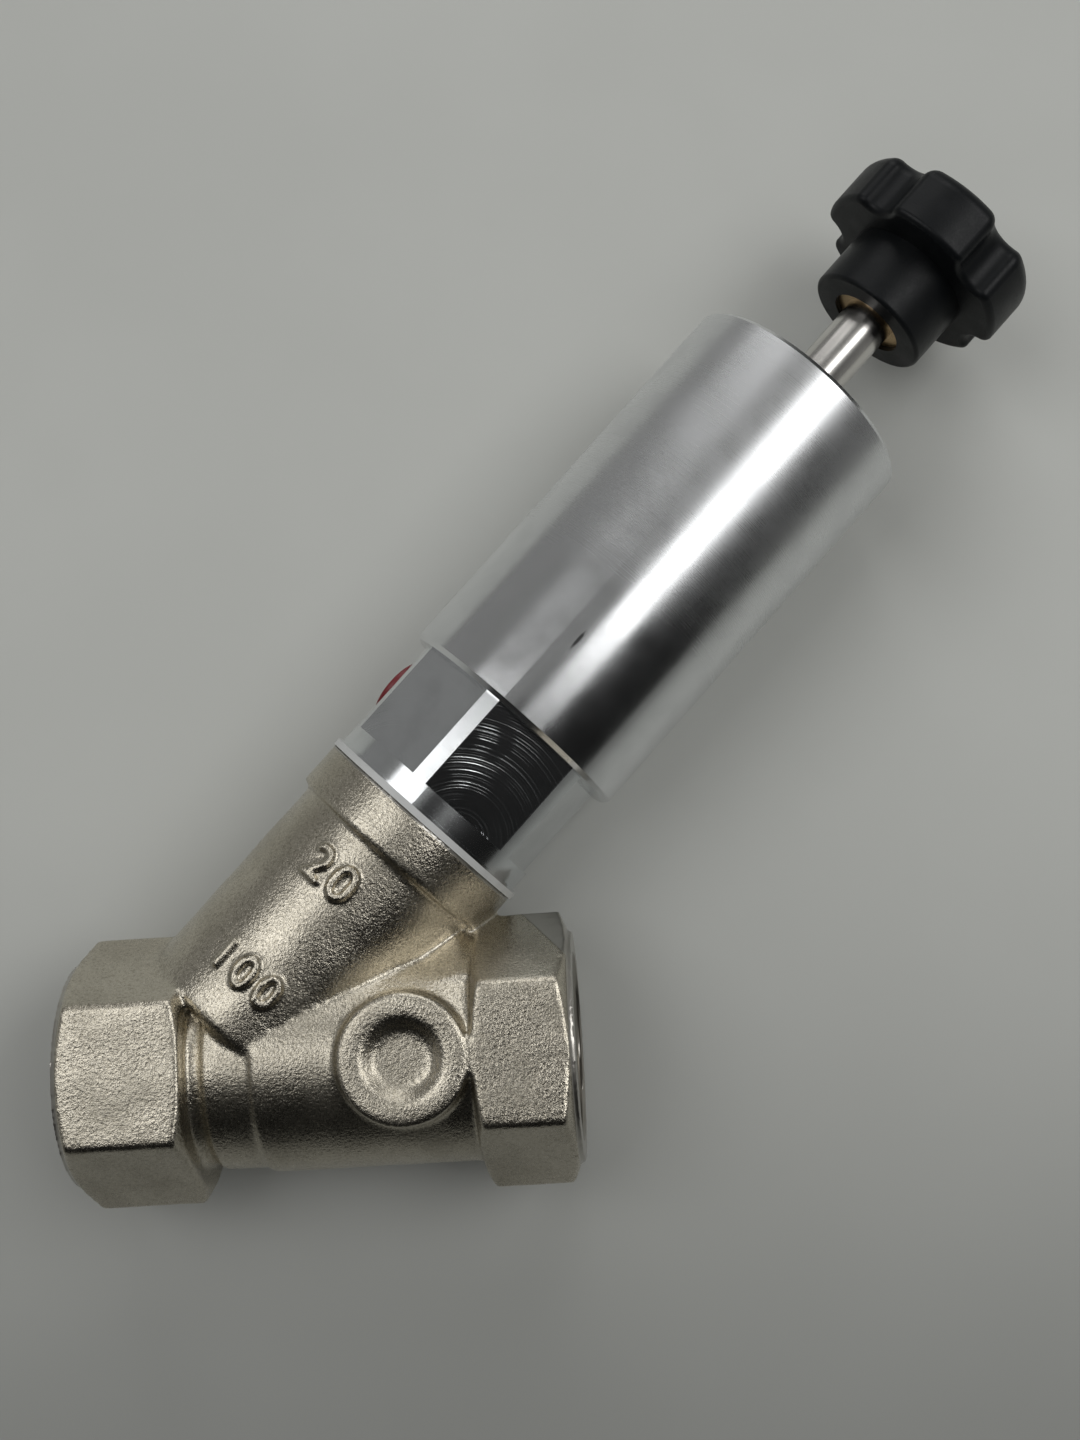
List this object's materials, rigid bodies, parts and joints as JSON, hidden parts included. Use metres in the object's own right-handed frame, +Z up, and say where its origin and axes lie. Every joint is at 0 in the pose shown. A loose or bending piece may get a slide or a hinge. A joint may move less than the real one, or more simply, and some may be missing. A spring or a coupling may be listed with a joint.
{
  "type": "angle seat valve",
  "caption": "Hand-operated Y-pattern angle seat valve with hexagonal threaded pipe ends, a leaning cylindrical spindle housing and a star knob on a bare rod.",
  "frame": {"origin": "centre of the inlet mouth, on the pipe axis", "axes": "+X along the pipe axis from inlet to outlet, +Y the side that the stem leans to, +Z up and square to the plane of both axes, as the valve lies on its side on a bench"},
  "size_m": [0.1486, 0.1508, 0.038],
  "materials": {
    "cast_stainless": "investment cast and bead blasted, matt with a fine grain",
    "milled_aluminium": "turned and milled, with swirl marks on the flats",
    "satin_aluminium": "fine turned satin, clear anodised",
    "polished_stainless": "ground and polished",
    "turned_stainless": "turned",
    "spring_steel": "blued spring steel",
    "turned_brass": "turned",
    "ptfe": "plain white fluoropolymer",
    "red_plastic": "moulded, slightly glossy",
    "black_plastic": "moulded, satin",
    "black_rubber": "smooth moulded rubber"
  },
  "bodies": {
    "valve_housing": {"valve_body": "cast_stainless", "bonnet_gasket": "ptfe", "bonnet": "milled_aluminium", "port_plug": "red_plastic", "packing_washer": "turned_stainless", "disc_springs": "turned_stainless", "lower_adaptor": "turned_stainless", "packing_rings": "ptfe", "upper_adaptor": "turned_stainless", "gland_nut": "turned_stainless", "spindle_nut": "turned_brass", "nut_screws": "turned_stainless", "housing_sleeve": "satin_aluminium", "sleeve_o_ring": "black_rubber", "top_cap": "satin_aluminium", "cap_o_ring": "black_rubber", "top_bush": "turned_brass", "rod_wiper": "black_rubber", "cap_snap_ring": "spring_steel"},
    "disc_carrier": {"disc": "turned_stainless", "disc_seal": "ptfe", "clamp_washer": "turned_stainless", "disc_nut": "turned_stainless", "thrust_washer": "turned_brass", "disc_retaining_ring": "spring_steel"},
    "hand_spindle": {"spindle": "polished_stainless", "stop_collar": "turned_stainless", "collar_pin": "spring_steel", "star_knob": "black_plastic", "knob_insert": "turned_brass"}
  },
  "joints": [
    {"name": "stem_lift", "type": "slide", "parent": "valve_housing", "child": "disc_carrier", "axis": [0.7071, 0.7071, 0], "range_m": [0, 0.0088]},
    {"name": "knob_turn", "type": "hinge", "parent": "disc_carrier", "child": "hand_spindle", "pos_m": [0.0173, 0, 0], "axis": [0.7071, 0.7071, 0], "range_deg": [-30, 2142]}
  ],
  "couplings": [
    {"joint": "knob_turn", "follows": "stem_lift", "rad_per_m": 4188.8}
  ]
}
